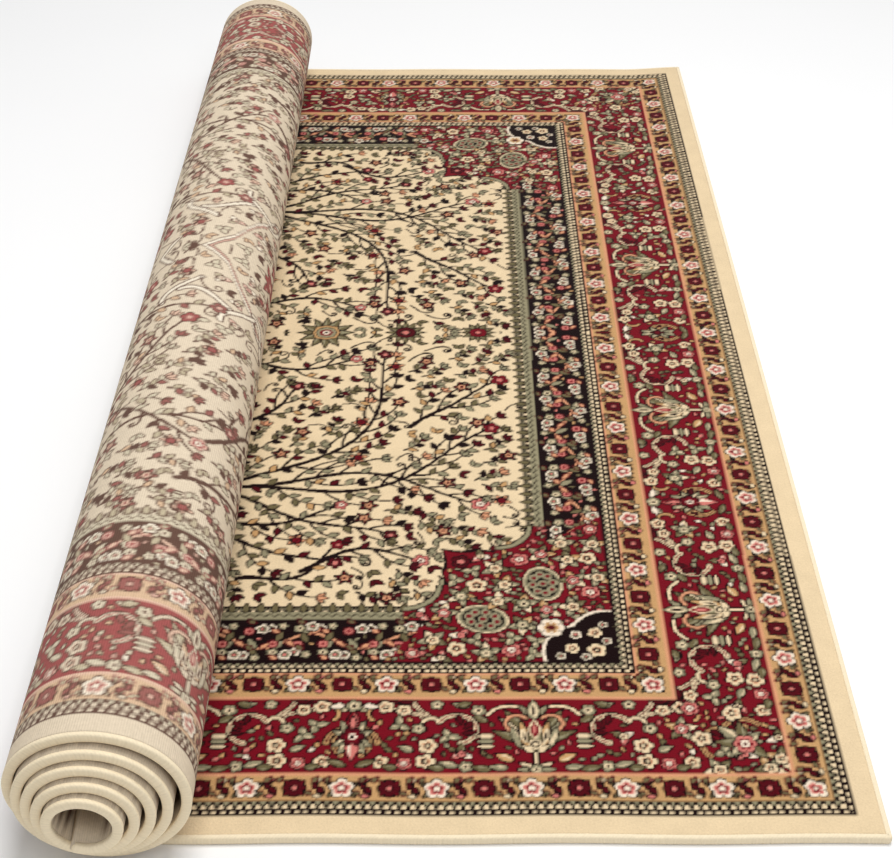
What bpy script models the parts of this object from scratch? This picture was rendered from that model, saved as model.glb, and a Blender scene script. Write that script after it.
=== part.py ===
"""A carpet that is partly rolled up: one woven sheet, flat on its right and wound into a roll on its left.

The sheet is a grid that is moved onto a flat run and a spiral, and Solidify gives it the carpet's thickness.
Metres, +Z up: X runs along the carpet's length, Y along its width and along the roll.
"""
from collections import namedtuple
from math import cos, exp, pi, sin

import bpy
from mathutils import Vector

# The carpet laid out flat
CARPET_LENGTH = 2.11
CARPET_WIDTH = 1.524
THICKNESS = 0.0076

# The flat run and the roll's section at its near and far end. A pitch is the step from one turn to the next on
# that side, and gape is how far the outer turn stands off on the right.
TURNS = 5
RollEnd = namedtuple("RollEnd", "flat_run width height left_pitch right_pitch top_pitch bottom_pitch gape")
NEAR_END = RollEnd(0.6253, 0.148, 0.140, 0.0090, 0.0113, 0.0099, 0.0093, 0.0082)
FAR_END = RollEnd(0.6285, 0.135, 0.126, 0.0079, 0.0083, 0.0081, 0.0079, 0.0006)
GAPE_TURNS = 0.9

# The turns slide out of the near end: a step over the first part of a turn, then evenly to the core
FIRST_SLIDE = 0.0135
FIRST_SLIDE_TURNS = 0.25
SLIDE_PER_TURN = 0.0072

# The loose tail that curls inside the core, clear of the last turn
TAIL_CLEARANCE = 0.0016

# Unevenness of the cut edges and of the rolled surface
EDGE_WAVE = 0.0007
EDGE_WAVES = 3.0
ROLL_SWELL = 0.0004
CORNER_REACH = 0.009
CORNER_SPAN = 0.09

# Facets
STEPS_PER_TURN = 30
FLAT_STEPS = 14
TAIL_STEPS = 10
CROSS_STEPS = 10

BACK_COLOUR = (0.70, 0.62, 0.48, 1.0)


def blend(start, end, share):
    return start + (end - start) * share


def smooth(share):
    """0 to 1 with level ends: 3t^2 - 2t^3."""
    share = min(max(share, 0.0), 1.0)
    return share * share * (3.0 - 2.0 * share)


def roll_section(across):
    """The roll's widths and pitches at a share of the carpet's width, with a slight swell along it."""
    swell = ROLL_SWELL * sin(EDGE_WAVES * pi * across)
    values = [blend(near, far, across) for near, far in zip(NEAR_END, FAR_END)]
    section = RollEnd(*values)
    return section._replace(width=section.width + swell, height=section.height - swell)


def gaped(turn):
    """Share of the gape that a turn count has passed, 1 - exp(-turn / spread)."""
    return 1.0 - exp(-turn / GAPE_TURNS)


def half_axes(section, turn):
    """Half width and half height of the carpet's back at a turn count, the ellipse shrinking by its pitches."""
    side_pitch = (section.left_pitch + section.right_pitch) / 2
    upright_pitch = (section.top_pitch + section.bottom_pitch) / 2
    lost = (section.left_pitch + 3 * section.right_pitch) / 4 + section.gape * gaped(0.75)
    half_width = (section.width + lost) / 2 - side_pitch * turn - section.gape * gaped(turn) / 2
    rise = (section.bottom_pitch - upright_pitch) / 2
    half_height = (section.height + upright_pitch / 2 - rise) / 2 - upright_pitch * turn
    return half_width, half_height


def roll_point(section, turn, inward=0.0):
    """Place (x, z) on the spiral, x from the carpet's right edge.

    With a = 2 pi turn it runs from the bottom by the left side over the top:
    x = shift - half_width sin a, z = lift - half_height cos a.
    """
    angle = 2 * pi * turn
    half_width, half_height = half_axes(section, turn)
    drift = turn * (section.right_pitch - section.left_pitch) / 2
    shift = -section.flat_run - drift - section.gape * gaped(turn) / 2
    lift = half_axes(section, 0.0)[1] + turn * (section.bottom_pitch - section.top_pitch) / 2
    x = shift - (half_width - inward) * sin(angle)
    z = lift - (half_height - inward) * cos(angle)
    return x, z


def turn_length(section, turn):
    """Length of the carpet's middle in one turn at this turn count, 2 pi times the mean radius."""
    half_width, half_height = half_axes(section, turn)
    return 2 * pi * ((half_width + half_height) / 2 - THICKNESS / 2)


def rolled_length(section):
    """Length that the full turns take up: the sum of their steps."""
    steps = TURNS * STEPS_PER_TURN
    return sum(turn_length(section, (step + 0.5) / STEPS_PER_TURN) for step in range(steps)) / STEPS_PER_TURN


def tail_turns(section):
    """Turn counts along the loose tail, which uses up the rest of the carpet's length."""
    step_length = (CARPET_LENGTH - section.flat_run - rolled_length(section)) / TAIL_STEPS
    turn = float(TURNS)
    turns = []
    for _ in range(TAIL_STEPS):
        turn += step_length / turn_length(section, turn)
        turns.append(turn)
    return turns


def slide(turn):
    """How far a turn has slid out of the near end."""
    return FIRST_SLIDE * (1.0 - exp(-turn / FIRST_SLIDE_TURNS)) + SLIDE_PER_TURN * turn


def flat_edge_wave(run, across):
    """Small sway of the two long edges, and the far right corner that reaches out a little."""
    edge = 2.0 * across - 1.0
    sway = EDGE_WAVE * edge ** 3 * sin(2 * pi * EDGE_WAVES * run)
    corner = CORNER_REACH * smooth(1.0 - (1.0 - run) * NEAR_END.flat_run / CORNER_SPAN) * smooth(edge)
    return sway + corner


def sheet_row(across):
    """Points of one row, from the loose tail in the core to the flat right edge, as (x, y, z)."""
    section = roll_section(across)
    start_y = (across - 0.5) * CARPET_WIDTH
    points = []
    for turn in reversed(tail_turns(section)):
        x, z = roll_point(section, turn, TAIL_CLEARANCE * smooth(3.0 * (turn - TURNS)))
        points.append((x, start_y - slide(turn), z))
    for step in range(TURNS * STEPS_PER_TURN, -1, -1):
        turn = step / STEPS_PER_TURN
        x, z = roll_point(section, turn)
        points.append((x, start_y - slide(turn), z))
    for step in range(1, FLAT_STEPS + 1):
        run = step / FLAT_STEPS
        points.append(((run - 1.0) * section.flat_run, start_y + flat_edge_wave(run, across), 0.0))
    return points


def make_material(name, colour):
    material = bpy.data.materials.new(name)
    material.use_nodes = True
    shader = material.node_tree.nodes["Principled BSDF"]
    shader.inputs["Base Color"].default_value = colour
    shader.inputs["Roughness"].default_value = 0.95
    shader.inputs["Metallic"].default_value = 0.0
    return material


def make_carpet():
    length_steps = TAIL_STEPS + TURNS * STEPS_PER_TURN + FLAT_STEPS
    bpy.ops.mesh.primitive_grid_add(x_subdivisions=length_steps, y_subdivisions=CROSS_STEPS, size=2.0)
    carpet = bpy.context.object
    carpet.name = "carpet"
    rows = [sheet_row(row / CROSS_STEPS) for row in range(CROSS_STEPS + 1)]
    for vertex in carpet.data.vertices:
        column = round((vertex.co.x + 1.0) / 2 * length_steps)
        row = round((vertex.co.y + 1.0) / 2 * CROSS_STEPS)
        vertex.co = rows[row][column]
    carpet.data.shade_smooth()

    cloth = carpet.modifiers.new("cloth thickness", "SOLIDIFY")
    cloth.thickness = THICKNESS
    cloth.offset = 1.0
    cloth.use_even_offset = True
    carpet.data.materials.append(make_material("carpet_wool", BACK_COLOUR))
    return carpet


def stand_on_bottom_centre(carpet):
    """Bring the middle of the carpet's box over the origin, its underside at z = 0."""
    xs = [vertex.co.x for vertex in carpet.data.vertices]
    ys = [vertex.co.y for vertex in carpet.data.vertices]
    middle = Vector(((min(xs) + max(xs)) / 2, (min(ys) + max(ys)) / 2, 0.0))
    for vertex in carpet.data.vertices:
        vertex.co -= middle
    return middle


for old in list(bpy.data.objects):
    bpy.data.objects.remove(old, do_unlink=True)

collection = bpy.data.collections.new("rolled_up_carpet")
bpy.context.scene.collection.children.link(collection)
carpet = make_carpet()
for holder in list(carpet.users_collection):
    holder.objects.unlink(carpet)
collection.objects.link(carpet)
stand_on_bottom_centre(carpet)
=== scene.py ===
"""The looks of a carpet that is partly rolled up: its flat pile side, its woven back and its serged edge."""
from math import cos, pi, radians, sin, tau

import bpy
import numpy as np
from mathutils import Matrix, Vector


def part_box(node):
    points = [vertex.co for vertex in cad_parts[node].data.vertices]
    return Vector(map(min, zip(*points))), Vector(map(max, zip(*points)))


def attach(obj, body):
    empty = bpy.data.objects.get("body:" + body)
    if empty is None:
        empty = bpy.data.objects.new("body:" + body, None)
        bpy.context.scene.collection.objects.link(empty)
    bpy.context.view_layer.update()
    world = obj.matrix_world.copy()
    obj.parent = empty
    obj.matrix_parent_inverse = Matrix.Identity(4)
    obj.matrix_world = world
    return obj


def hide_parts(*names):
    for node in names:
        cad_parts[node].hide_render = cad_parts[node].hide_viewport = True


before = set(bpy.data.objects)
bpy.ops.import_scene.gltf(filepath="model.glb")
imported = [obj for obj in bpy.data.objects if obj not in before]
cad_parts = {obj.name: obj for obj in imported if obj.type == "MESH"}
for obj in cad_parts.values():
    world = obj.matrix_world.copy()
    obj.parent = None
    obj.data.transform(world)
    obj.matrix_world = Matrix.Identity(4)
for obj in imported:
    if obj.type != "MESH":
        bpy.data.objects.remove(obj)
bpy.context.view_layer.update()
far_right_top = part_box("carpet")[1]

# --- The studio ---
# A pale floor under soft light. The camera stands before the near edge, a little to the left of the flat right
# edge, and looks along the roll and down.
CARPET_LENGTH = 2.11
CARPET_WIDTH = 1.524
# How far the far right corner reaches out past the straight edge
CORNER_REACH = 0.009
CAMERA_FROM_RIGHT_EDGE = 0.359
CAMERA_BEFORE_NEAR_EDGE = 0.9095
CAMERA_HEIGHT = 1.0609
CAMERA_PITCH = 35.5
CAMERA_LENS = 67.7
FLOOR_COLOUR = (0.86, 0.86, 0.86, 1.0)
FLOOR_PALER = (0.88, 0.88, 0.88, 1.0)
FLOOR_CORNERS = ((-6, -6, 0), (6, -6, 0), (6, 8, 0), (-6, 8, 0))
SKY_COLOUR = (1.0, 1.0, 1.0, 1.0)
SKY_STRENGTH = 0.45

right_x = far_right_top[0]
middle_y = far_right_top[1] - CORNER_REACH - CARPET_WIDTH / 2
near_y = middle_y - CARPET_WIDTH / 2

camera_data = bpy.data.cameras.new("camera")
camera_data.lens = CAMERA_LENS
camera = bpy.data.objects.new("camera", camera_data)
camera.location = (right_x - CAMERA_FROM_RIGHT_EDGE, near_y - CAMERA_BEFORE_NEAR_EDGE, CAMERA_HEIGHT)
camera.rotation_euler = (radians(90 - CAMERA_PITCH), 0.0, 0.0)
bpy.context.scene.collection.objects.link(camera)
bpy.context.scene.camera = camera


def add_light(name, place, aim, size, power):
    """A square soft light at a place, turned towards an aim."""
    data = bpy.data.lights.new(name, "AREA")
    data.size = size
    data.energy = power
    light = bpy.data.objects.new(name, data)
    light.location = place
    light.rotation_euler = (Vector(aim) - Vector(place)).to_track_quat("-Z", "Y").to_euler()
    bpy.context.scene.collection.objects.link(light)


add_light("overhead_light", (0.3, 0.1, 3.2), (0.0, 0.1, 0.0), 1.6, 75.0)
add_light("front_light", (1.0, -2.2, 2.8), (0.0, -0.4, 0.05), 1.4, 20.0)
add_light("left_light", (-2.6, 0.4, 2.2), (0.0, 0.0, 0.05), 1.6, 2.0)

world = bpy.data.worlds.new("studio")
world.use_nodes = True
sky = world.node_tree.nodes["Background"]
sky.inputs["Color"].default_value = SKY_COLOUR
sky.inputs["Strength"].default_value = SKY_STRENGTH
bpy.context.scene.world = world
bpy.context.scene.view_settings.view_transform = "Standard"


class Signal:
    """One output socket of a finish, so that shader maths on it reads as Python."""

    def __init__(self, finish, socket):
        self.finish = finish
        self.socket = socket

    def maths(self, operation, *values):
        return self.finish.node("ShaderNodeMath", {"operation": operation}, dict(enumerate(values)))

    def __add__(self, other):
        return self.maths("ADD", self, other)

    def __sub__(self, other):
        return self.maths("SUBTRACT", self, other)

    def __mul__(self, other):
        return self.maths("MULTIPLY", self, other)

    def __rsub__(self, other):
        return self.maths("SUBTRACT", other, self)

    def __gt__(self, other):
        return self.maths("GREATER_THAN", self, other)

    __radd__ = __add__
    __rmul__ = __mul__

    def sine(self):
        return self.maths("SINE", self)

    def lesser(self, other):
        return self.maths("MINIMUM", self, other)


class Finish:
    """A material with one Principled shader, and one method that adds any other node to it."""

    def __init__(self, name, roughness):
        self.material = bpy.data.materials.new(name)
        self.material.use_nodes = True
        self.tree = self.material.node_tree
        self.shader = self.tree.nodes["Principled BSDF"]
        self.shader.inputs["Roughness"].default_value = roughness

    def feed(self, socket, value):
        if isinstance(value, Signal):
            self.tree.links.new(value.socket, socket)
        else:
            socket.default_value = value

    def node(self, kind, settings=None, values=None, output=0):
        """Adds a node, makes its settings, then feeds its sockets by name or number."""
        node = self.tree.nodes.new(kind)
        for name, setting in (settings or {}).items():
            setattr(node, name, setting)
        for key, value in (values or {}).items():
            self.feed(node.inputs[key], value)
        return Signal(self, node.outputs[output])

    def mix(self, share, first, second, blend="MIX"):
        """Colour from first to second by a share."""
        settings = {"data_type": "RGBA", "blend_type": blend}
        return self.node("ShaderNodeMix", settings, {0: share, 6: first, 7: second}, output=2)

    def noise(self, place, scale, detail=2.0, roughness=0.5):
        values = {"Vector": place, "Scale": scale, "Detail": detail, "Roughness": roughness}
        return self.node("ShaderNodeTexNoise", {}, values)

    def dye(self, colour, shade):
        """Feeds the base colour with a colour that a number darkens or lightens."""
        grey = self.node("ShaderNodeCombineColor", {}, {0: shade, 1: shade, 2: shade})
        self.feed(self.shader.inputs["Base Color"], self.mix(1.0, colour, grey, "MULTIPLY"))

    def bump(self, height, strength, distance):
        values = {"Height": height, "Strength": strength, "Distance": distance}
        self.feed(self.shader.inputs["Normal"], self.node("ShaderNodeBump", {}, values))


floor_finish = Finish("studio_floor", 0.8)
floor_grain = floor_finish.noise(floor_finish.node("ShaderNodeTexCoord", output="Object"), 3.0)
floor_shade = floor_finish.mix(floor_grain, FLOOR_COLOUR, FLOOR_PALER)
floor_finish.feed(floor_finish.shader.inputs["Base Color"], floor_shade)

floor_mesh = bpy.data.meshes.new("floor")
floor_mesh.from_pydata(FLOOR_CORNERS, [], [(0, 1, 2, 3)])
floor_mesh.materials.append(floor_finish.material)
floor = bpy.data.objects.new("floor", floor_mesh)
bpy.context.scene.collection.objects.link(floor)

# --- The weaver's chart ---
# The pattern is a chart of one quarter of the carpet: a cell for each knot holds a yarn's number, and the loom
# mirrors it to the other three. Places are in millimetres from the short edge (along) and long edge (across).
# Borders run round a cream field of branching boughs, with crimson corners and a centre medallion.
CREAM, CRIMSON, GOLD, SAGE, BLACK, PINK, IVORY, MAROON, SALMON, OLIVE = range(10)
QUARTER_ALONG = 1055
QUARTER_ACROSS = 762
# Spare knots past the quarter's two middle lines, for figures that lie across them
OVERRUN = 80

# Depth of each border from the edge, outermost first
GUARD_AT, OUTER_GOLD_AT, MAIN_AT, INNER_GOLD_AT = 24, 40, 70, 161
INNER_GUARD_AT, PANEL_AT, TEETH_AT, FIELD_AT = 190, 204, 260, 292
GROUNDS = ((0, CREAM), (GUARD_AT, BLACK), (OUTER_GOLD_AT, GOLD), (MAIN_AT - 3, SALMON), (MAIN_AT, CRIMSON),
           (INNER_GOLD_AT - 4, SALMON), (INNER_GOLD_AT - 1, GOLD), (INNER_GUARD_AT - 2, SALMON),
           (INNER_GUARD_AT, BLACK), (PANEL_AT, BLACK), (TEETH_AT, SAGE), (TEETH_AT + 12, CREAM))
# Repeats of the guards' beads, the gold borders' rosettes, the panel's stem and the toothed edge
BEAD_REPEAT, GOLD_REPEAT, PANEL_REPEAT, TEETH_REPEAT = 7.5, 79, 92, 27.0
# The lighter yarn on the sunny half of a leaf of each yarn
SUNNY = (IVORY, PINK, CREAM, CREAM, BLACK, IVORY, CREAM, CRIMSON, IVORY, SAGE)


def patch(knots, x, y, reach, turn=0.0):
    """The knots within reach of a place, with their offsets p, q in axes that are turned by an angle."""
    left, low = max(int(x - reach), 0), max(int(y - reach), 0)
    view = knots[low:max(int(y + reach) + 2, 0), left:max(int(x + reach) + 2, 0)]
    rows, columns = view.shape
    q = (np.arange(rows) + low - y)[:, None]
    p = (np.arange(columns) + left - x)[None, :]
    return view, cos(turn) * p + sin(turn) * q, cos(turn) * q - sin(turn) * p


def leaf(knots, x, y, turn, length, width, yarn=SAGE, outline=BLACK):
    """A pointed leaf from a place, half width = w/2 sin(pi t^0.8) along it, with a sunny half if wide."""
    view, p, q = patch(knots, x, y, length + 2, turn)
    share = np.clip(p / length, 0.0, 1.0)
    half = 0.5 * width * np.sin(pi * share ** 0.8)
    grown = (p > -1) & (p < length + 1)
    view[grown & (abs(q) < half + 1.4)] = outline
    view[grown & (abs(q) < half - 0.2)] = yarn
    if width > 6.5:
        view[grown & (q > 0.7) & (q < half - 1.4)] = SUNNY[yarn]


def blossom(knots, x, y, radius, petals, rings, turn=0.0):
    """A flower with its edge at r (0.56 + 0.44 sqrt|cos(n a/2)|), filled by rings of (share of edge, yarn)."""
    view, p, q = patch(knots, x, y, radius * 1.15 + 2, turn)
    edge = radius * (0.56 + 0.44 * np.sqrt(abs(np.cos(petals / 2 * np.arctan2(q, p)))))
    reach = np.hypot(p, q)
    view[reach < edge + 1.7] = BLACK
    for share, yarn in rings:
        view[reach < edge * share] = yarn


def stroke(knots, line, width, yarn, tip_width=None):
    """A stem along a line of complex places, as the knots nearer to its pieces than half its width there."""
    widths = np.linspace(width, width if tip_width is None else tip_width, len(line) - 1)
    for start, end, wide in zip(line[:-1], line[1:], widths):
        middle, half = (start + end) / 2, (end - start) / 2
        view, p, q = patch(knots, middle.real, middle.imag, abs(half) + wide, np.angle(half))
        view[np.hypot(np.maximum(abs(p) - abs(half), 0), q) < wide / 2] = yarn


def stem(start, heading, length, bend=0.0, sway=0.0, curl=0.0, steps=14):
    """Places along a stem whose heading turns by bend t + sway sin(2 pi t) + curl t^3 on its way."""
    t = (np.arange(steps) + 0.5) / steps
    headings = heading + bend * t + sway * np.sin(tau * t) + curl * t ** 3
    return start + np.concatenate(([0], np.cumsum(np.exp(1j * headings)))) * length / steps


def diamond(knots, x, y, radius, rings, outline=BLACK):
    """A four-petalled square rosette: |p|, |q| < r, notched at the corners, in rings."""
    view, p, q = patch(knots, x, y, radius + 3)
    reach = np.maximum(abs(p), abs(q)) + 0.35 * np.minimum(abs(p), abs(q))
    view[reach < radius + 1.6] = outline
    for share, yarn in rings:
        view[reach < radius * share] = yarn


RED_ROSE = ((1.0, CRIMSON), (0.62, MAROON), (0.35, PINK))
PINK_ROSE = ((1.0, PINK), (0.7, CRIMSON), (0.45, IVORY), (0.2, MAROON))
CREAM_ROSE = ((1.0, CREAM), (0.56, SALMON), (0.46, BLACK), (0.2, CREAM))
DARK_ROSE = ((1.0, MAROON), (0.6, BLACK), (0.4, PINK))
WHITE_ROSE = ((1.0, IVORY), (0.7, SAGE), (0.46, BLACK), (0.26, PINK))
SAGE_ROSE = ((1.0, SAGE), (0.6, CREAM), (0.3, BLACK))
LANTERN = ((1.0, GOLD), (0.8, BLACK), (0.72, SAGE), (0.5, CRIMSON), (0.3, IVORY), (0.15, BLACK))
SQUARE_ROSE = ((1.0, MAROON), (0.55, BLACK), (0.34, PINK))


def weave_guard(knots, depth, width, run):
    """A guard stripe: a row of beads, then a row of pale domes that are ringed in black, on a sage strip."""
    q, p = np.mgrid[0:width, 0:run].astype(float)
    view = knots[depth:depth + width, :run]
    view[:] = BLACK
    view[(q > 1.5) & (q < 4.2) & ((p % BEAD_REPEAT) < 4.0)] = CREAM
    view[(q > width - 7.0) & (q < width - 1.0)] = SAGE
    dome = np.hypot(((p / BEAD_REPEAT) % 1.0 - 0.5) * 2.0, (q - 5.5) / (width - 6.5))
    view[(dome < 1.0) & (q > 5.0)] = BLACK
    view[(dome < 0.64) & (q > 6.4)] = CREAM


def weave_gold_border(knots, middle, start, run):
    """Square rosettes and pink roses in turn along a gold border, with small dark sprigs between them."""
    for number, x in enumerate(np.arange(start, run, GOLD_REPEAT / 2)):
        for side in (-1, 1):
            sprig = x + side * GOLD_REPEAT / 4
            for height, turn in ((-7, 0.5), (7, 2.3)):
                leaf(knots, sprig - side * 5, middle + height, turn, 7, 4.5, OLIVE, MAROON)
        if number % 2:
            diamond(knots, x, middle, 9.0, SQUARE_ROSE)
            for turn in (pi / 4, 3 * pi / 4, -pi / 4, -3 * pi / 4):
                leaf(knots, x + 5 * cos(turn), middle + 5 * sin(turn), turn, 6, 4, CRIMSON)
            diamond(knots, x, middle, 6.4, SQUARE_ROSE[1:], MAROON)
        else:
            for turn in (0.4, pi - 0.4, -0.7, pi + 0.7):
                leaf(knots, x, middle, turn, 15, 6, OLIVE)
            blossom(knots, x, middle, 10.5, 5, ((1.0, IVORY), (0.72, PINK), (0.5, CRIMSON), (0.28, IVORY)), 0.3)
        sprig = x + GOLD_REPEAT / 4
        for height in (-9, 9):
            leaf(knots, sprig - 3, middle + height, 0.0, 7, 4, (CREAM, PINK)[number % 2])
        stroke(knots, np.array([sprig - 3 - 8j, sprig + 2 + 0j, sprig - 2 + 8j]) + 1j * middle, 2.2, BLACK)
        leaf(knots, sprig, middle - 1, 0.9, 8, 4.5, MAROON)
        leaf(knots, sprig, middle + 1, -2.2, 8, 4.5, MAROON)


def is_free(knots, place, room, ground):
    """Whether nothing but the ground yarn lies within some room of a place."""
    view, p, q = patch(knots, place.real, place.imag, room)
    return view.size > 0 and bool((view[np.hypot(p, q) < room] == ground).all())


def fill_gaps(knots, box, ground, spacing, room, draw):
    """Small figures on a staggered lattice inside box, wherever the ground is free as far as room."""
    left, low, right, top = box
    for row, y in enumerate(np.arange(low, top, spacing * 0.8)):
        for column, x in enumerate(np.arange(left + spacing / 2 * (row % 2), right, spacing)):
            number = 3 * row + 5 * column
            place = x + 1j * y + 0.22 * spacing * (sin(1.7 * number) + 1j * sin(2.9 * number + 1))
            if is_free(knots, place, room, ground):
                draw(knots, place.real, place.imag, number)


def draw_border_figure(knots, x, y, number):
    """Three leaves that spread from a bud on the crimson border."""
    turn = 1.3 * number
    yarns = (SAGE, OLIVE, SAGE, IVORY, SAGE, PINK)
    for leaf_number, (side, length) in enumerate(((0.0, 12), (2.2, 10), (-2.0, 10))):
        leaf(knots, x, y, turn + side, length, 6.8, yarns[(number + 2 * leaf_number) % 6])
    if number % 2:
        blossom(knots, x, y, 3.6, 5, ((1.0, (CREAM, PINK)[number % 4 // 2]), (0.4, MAROON)))


def draw_large_figure(knots, x, y, number):
    """A small rose among five leaves on the crimson border."""
    for point, yarn in enumerate((SAGE, OLIVE, GOLD, SAGE, CREAM)):
        leaf(knots, x, y, number + tau * point / 5, 15, 7.5, yarn)
    blossom(knots, x, y, 6.2, 5, (CREAM_ROSE, PINK_ROSE, SAGE_ROSE)[number % 3], number)


def draw_small_figure(knots, x, y, number):
    """A pair of small leaves on the crimson border."""
    turn = 2.1 * number
    leaf(knots, x, y, turn, 8, 4.4, (SAGE, IVORY, OLIVE, PINK)[number % 4])
    leaf(knots, x, y, turn + 2.4, 7, 4.2, (OLIVE, SAGE, GOLD)[number % 3])


def draw_tiny_leaf(knots, x, y, number):
    """A single small leaf in what gaps are left."""
    leaf(knots, x - 2.5 * cos(2.1 * number), y - 2.5 * sin(2.1 * number), 2.1 * number, 6, 3.4,
         (OLIVE, SAGE, GOLD, PINK)[number % 4])


def fill_crimson(knots, box, ease=1.0):
    """Crowds a crimson ground with figures of four sizes, the largest first; a lower ease sets them closer."""
    for spacing, room, draw in (
            (14.0, 12.0, draw_large_figure), (12.0, 8.0, draw_border_figure), (9.0, 5.6, draw_small_figure),
            (7.0, 3.6, draw_tiny_leaf)):
        fill_gaps(knots, box, CRIMSON, ease * spacing, ease * room, draw)


def faced(side, turn):
    """A heading, or its mirror image on the left side."""
    return turn if side > 0 else pi - turn


def leaves(knots, x, y, side, table):
    """Leaves about a place by rows of (along, across, heading, length, width, yarns), mirrored on the left."""
    for along, across, turn, length, width, *yarns in table:
        leaf(knots, x + side * along, y + across, faced(side, turn), length, width, *yarns)


def weave_palmette(knots, x, middle):
    """The great palmette: a bulb of upright leaves on a stalk, with wings and a crown of curls."""
    stalk = np.array([x + 1j * (middle - 42), x + 1j * (middle - 12)])
    stroke(knots, stalk, 7, BLACK)
    stroke(knots, stalk, 3.6, CREAM)
    for side in (-1, 1):
        leaves(knots, x, middle, side, (
            (2, -10, 0.42, 38, 10, OLIVE), (4, -6, 0.8, 38, 10, SAGE), (8, 6, 0.95, 30, 8, OLIVE),
            (2, -38, 0.45, 14, 5, CREAM), (3, -40, 0.0, 14, 5, SAGE), (19, -30, 0.5, 18, 8, GOLD),
            (24, -38, 0.1, 17, 6.6, SAGE), (38, -40, 0.2, 18, 6.6, OLIVE)))
        for across, height, turn, length, bend in ((7, 20, 0.9, 34, -3.4), (14, 34, 0.3, 30, -1.3)):
            curl = stem(x + side * across + 1j * (middle + height), faced(side, turn), length, side * bend)
            stroke(knots, curl, 5.6, BLACK)
            stroke(knots, curl, 2.8, (SALMON, CREAM)[across > 10])
        leaves(knots, x, middle, side, (
            (35, -1, 0.0, 16, 5.4, CREAM), (35, -7, 0.0, 16, 5.4, SAGE), (35, -13, 0.0, 16, 5.4, CREAM)))
    leaves(knots, x, middle, 1, (
        (-6, -19, 2.05, 32, 11, SAGE), (6, -19, pi - 2.05, 32, 11, SAGE), (-4, -19, 1.8, 36, 9, GOLD),
        (4, -19, pi - 1.8, 36, 9, GOLD), (0, -19, pi / 2, 38, 11, OLIVE)))
    for side in (-1, 1):
        leaves(knots, x, middle, side, (
            (2, -20, 0.7, 13, 5, CREAM), (8, -8, 1.35, 14, 3, BLACK, CREAM), (3, 24, 0.9, 15, 6, SAGE)))
    leaves(knots, x, middle, 1, (
        (0, 18, pi / 2, 25, 11, SAGE), (0, 23, pi / 2, 14, 4, BLACK, CREAM),
        (0, -3, pi / 2, 20, 8, CRIMSON, CREAM), (0, 1, pi / 2, 12, 4, PINK, CRIMSON)))
    diamond(knots, x, middle - 11, 4.5, ((1.0, BLACK), (0.5, CREAM)), CREAM)
    blossom(knots, x, middle - 40, 5.5, 5, SAGE_ROSE)


def weave_scrolls(knots, x, middle, side):
    """Between two palmettes: two pale scrolls that open away from it, joined by a stem, roses and leaves."""
    place = x + 1j * middle
    join = stem(place + side * 92 + 24j, faced(side, 0.5), 98, -side * 2.9, side * 1.2, steps=18)
    near_scroll = stem(place + side * 82 + 16j, faced(side, 2.1), 68, side * 4.0)
    near_hook = stem(place + side * 82 + 16j, faced(side, 1.2), 26, -side * 3.4)
    far_scroll = stem(place + side * 148 - 24j, faced(side, 2.4), 72, -side * 3.9)
    far_hook = stem(place + side * 140 + 18j, faced(side, 0.6), 28, side * 3.2)
    for line, width, yarn in (
            (join, 6.4, BLACK), (join, 3.6, CREAM), (join, 1.2, MAROON), (near_scroll, 7.0, BLACK),
            (near_hook, 5.6, BLACK), (near_scroll, 4.2, CREAM), (near_hook, 2.8, CREAM),
            (near_scroll, 1.3, CRIMSON), (far_scroll, 7.0, BLACK), (far_hook, 5.6, BLACK),
            (far_scroll, 4.2, GOLD), (far_hook, 2.8, GOLD), (far_scroll, 1.3, MAROON)):
        stroke(knots, line, width, yarn)
    for line, turns in ((near_scroll, 1), (far_scroll, -1), (join, 1), (join, -1)):
        for at in (4, 7, 10):
            direction = np.angle(line[at + 1] - line[at])
            leaf(knots, line[at].real, line[at].imag, direction + side * turns * 1.1, 12, 5,
                 (SALMON, MAROON, OLIVE)[at % 3], BLACK)
    for offset, height, radius, rings in (
            (92, -12, 8.5, CREAM_ROSE), (94, -30, 8.5, CREAM_ROSE), (48, 30, 6.5, SAGE_ROSE),
            (112, -33, 6.5, PINK_ROSE), (100, 8, 6, SAGE_ROSE), (84, 37, 5.5, SAGE_ROSE),
            (132, -31, 7, CREAM_ROSE), (129, 34, 7.5, CREAM_ROSE), (60, -36, 6, SAGE_ROSE),
            (113, 30, 6.5, CREAM_ROSE)):
        blossom(knots, x + side * offset, middle + height, radius, 5, rings, 0.02 * offset)
    leaves(knots, x, middle, side, (
        (56, 34, 0.3, 16, 7, SAGE), (66, 36, 2.9, 13, 7, OLIVE), (66, -36, 0.3, 18, 7, SAGE),
        (78, -38, 0.1, 14, 7, OLIVE), (40, 16, 0.5, 14, 7, OLIVE), (104, -18, 0.4, 15, 7, SAGE),
        (146, 28, 0.8, 13, 7, SAGE), (118, -38, 0.2, 13, 7, OLIVE)))


def weave_small_palmette(knots, x, middle):
    """A small red palmette between sage leaves, halfway between two great ones."""
    for turn, length in ((0.5, 20), (1.1, 24), (-0.5, 20), (-1.0, 22)):
        for side in (1, -1):
            leaf(knots, x, middle - 4, faced(side, turn), length, 8.5, SAGE)
    leaves(knots, x, middle, 1, (
        (0, 4, pi / 2, 26, 11, CRIMSON), (0, 8, pi / 2, 14, 5, PINK), (0, -4, -pi / 2, 26, 11, PINK)))
    blossom(knots, x, middle - 2, 10, 6, ((1.0, MAROON), (0.7, CRIMSON), (0.4, IVORY), (0.2, BLACK)))
    blossom(knots, x, middle + 35, 7, 5, SAGE_ROSE)
    for side in (-1, 1):
        leaves(knots, x, middle, side, ((4, -36, pi / 2 - 1.2, 18, 7, OLIVE), (8, 36, -0.2, 14, 6, IVORY)))


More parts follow.
